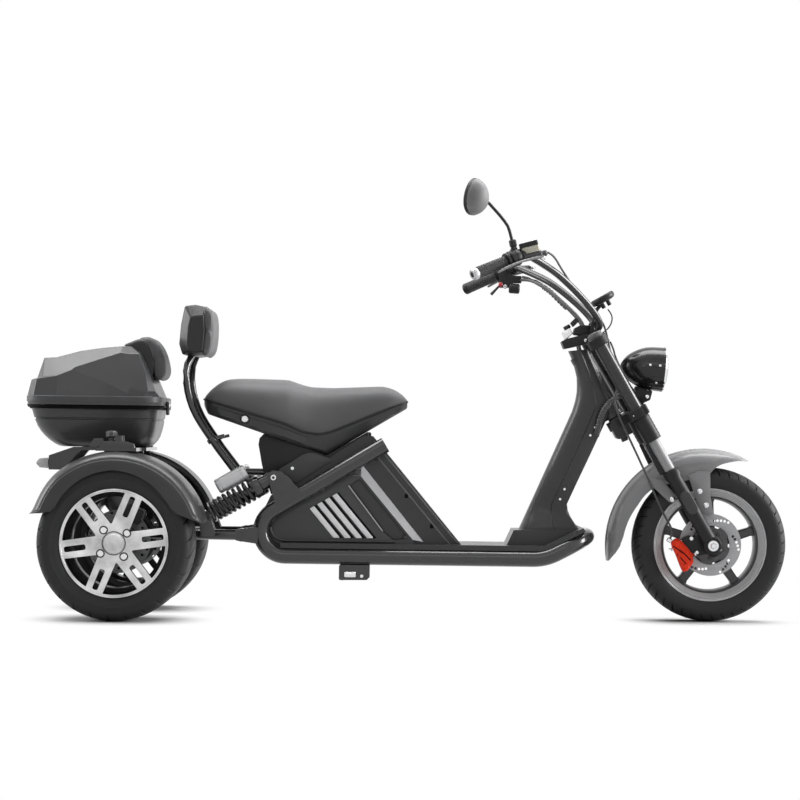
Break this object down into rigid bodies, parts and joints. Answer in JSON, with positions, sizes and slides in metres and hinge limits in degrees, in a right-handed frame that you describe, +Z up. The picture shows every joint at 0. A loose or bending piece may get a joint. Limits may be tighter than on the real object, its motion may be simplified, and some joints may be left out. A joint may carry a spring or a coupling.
{
  "type": "electric trike scooter",
  "caption": "Three-wheeled electric scooter with a tube frame, step-through deck, raked fork, padded seat with backrest, wide rear wheels and a lidded rear box.",
  "frame": {"origin": "on the floor, under the middle of the whole length and width", "axes": "+X forward, +Y to the rider's left, +Z up"},
  "size_m": [2.3215, 0.805, 1.3225],
  "materials": {
    "satin_black": "satin powder coat",
    "graphite": "satin graphite paint",
    "gloss_black": "semi-gloss black paint",
    "black_plastic": "fine moulded grain",
    "grey_leather": "grained synthetic leather",
    "tyre": "matt",
    "rubber": "matt",
    "dark_alloy": "dark painted casting",
    "bright_alloy": "machined and lacquered",
    "bright_steel": "brushed",
    "chrome": "polished",
    "silver_paint": "satin silver",
    "caliper_red": "gloss red",
    "cream_plastic": "translucent",
    "clear_lens": "clear",
    "mirror_glass": "polished"
  },
  "bodies": {
    "frame": {"frame": "satin_black", "swing_arm": "satin_black", "pivot_pins": "bright_steel", "drive_unit": "dark_alloy", "rear_calipers": "dark_alloy", "shocks": "satin_black", "battery_case": "graphite", "seat_box": "black_plastic", "side_panels": "graphite", "panel_slats": "silver_paint", "deck": "graphite", "column_plinth": "graphite", "column": "graphite", "rear_fenders": "gloss_black", "rack": "satin_black", "box_tub": "black_plastic", "lamp_holders": "black_plastic", "lamp_lenses": "clear_lens", "backrest_posts": "satin_black", "backrest_pad": "grey_leather"},
    "seat": {"seat_pad": "grey_leather", "seat_pan": "black_plastic", "seat_lock": "bright_steel"},
    "lid": {"box_lid": "black_plastic", "box_pad": "grey_leather", "box_latch": "black_plastic"},
    "fork": {"lower_yoke": "satin_black", "upper_yoke": "satin_black", "handlebar": "satin_black", "fork_sleeves": "satin_black", "fork_stanchions": "chrome", "fork_legs": "satin_black", "front_axle": "bright_steel", "front_caliper": "caliper_red", "front_fender": "gloss_black", "headlight_shell": "gloss_black", "headlight_lens": "clear_lens", "horn_box": "black_plastic", "grips": "rubber", "control_perches": "black_plastic", "brake_levers": "bright_alloy", "fluid_tank": "cream_plastic", "mirror": "black_plastic", "mirror_glass": "mirror_glass", "display": "black_plastic"},
    "front_wheel": {"front_tyre": "tyre", "front_rim": "dark_alloy", "front_disc": "bright_steel"},
    "rear_wheel_right": {"rear_tyre_right": "tyre", "rear_rim_right": "bright_alloy", "rear_hub_right": "bright_steel"},
    "rear_wheel_left": {"rear_tyre_left": "tyre", "rear_rim_left": "bright_alloy", "rear_hub_left": "bright_steel"}
  },
  "joints": [
    {"name": "steering", "type": "hinge", "parent": "frame", "child": "fork", "pos_m": [0.58229, 0, 0.7088], "axis": [-0.5, 0, 0.866], "range_deg": [-38, 38]},
    {"name": "front_wheel_spin", "type": "hinge", "parent": "fork", "child": "front_wheel", "pos_m": [0.92425, 0, 0.2365], "axis": [0, 1, 0], "continuous": true},
    {"name": "rear_wheel_right_spin", "type": "hinge", "parent": "frame", "child": "rear_wheel_right", "pos_m": [-0.86775, -0.27, 0.231], "axis": [0, 1, 0], "continuous": true},
    {"name": "rear_wheel_left_spin", "type": "hinge", "parent": "frame", "child": "rear_wheel_left", "pos_m": [-0.86775, 0.27, 0.231], "axis": [0, 1, 0], "continuous": true},
    {"name": "lid_hinge", "type": "hinge", "parent": "frame", "child": "lid", "pos_m": [-1.15575, 0, 0.638], "axis": [0, -1, 0], "range_deg": [0, 85]},
    {"name": "seat_hinge", "type": "hinge", "parent": "frame", "child": "seat", "pos_m": [-0.12375, 0, 0.562], "axis": [0, 1, 0], "range_deg": [0, 60]}
  ]
}
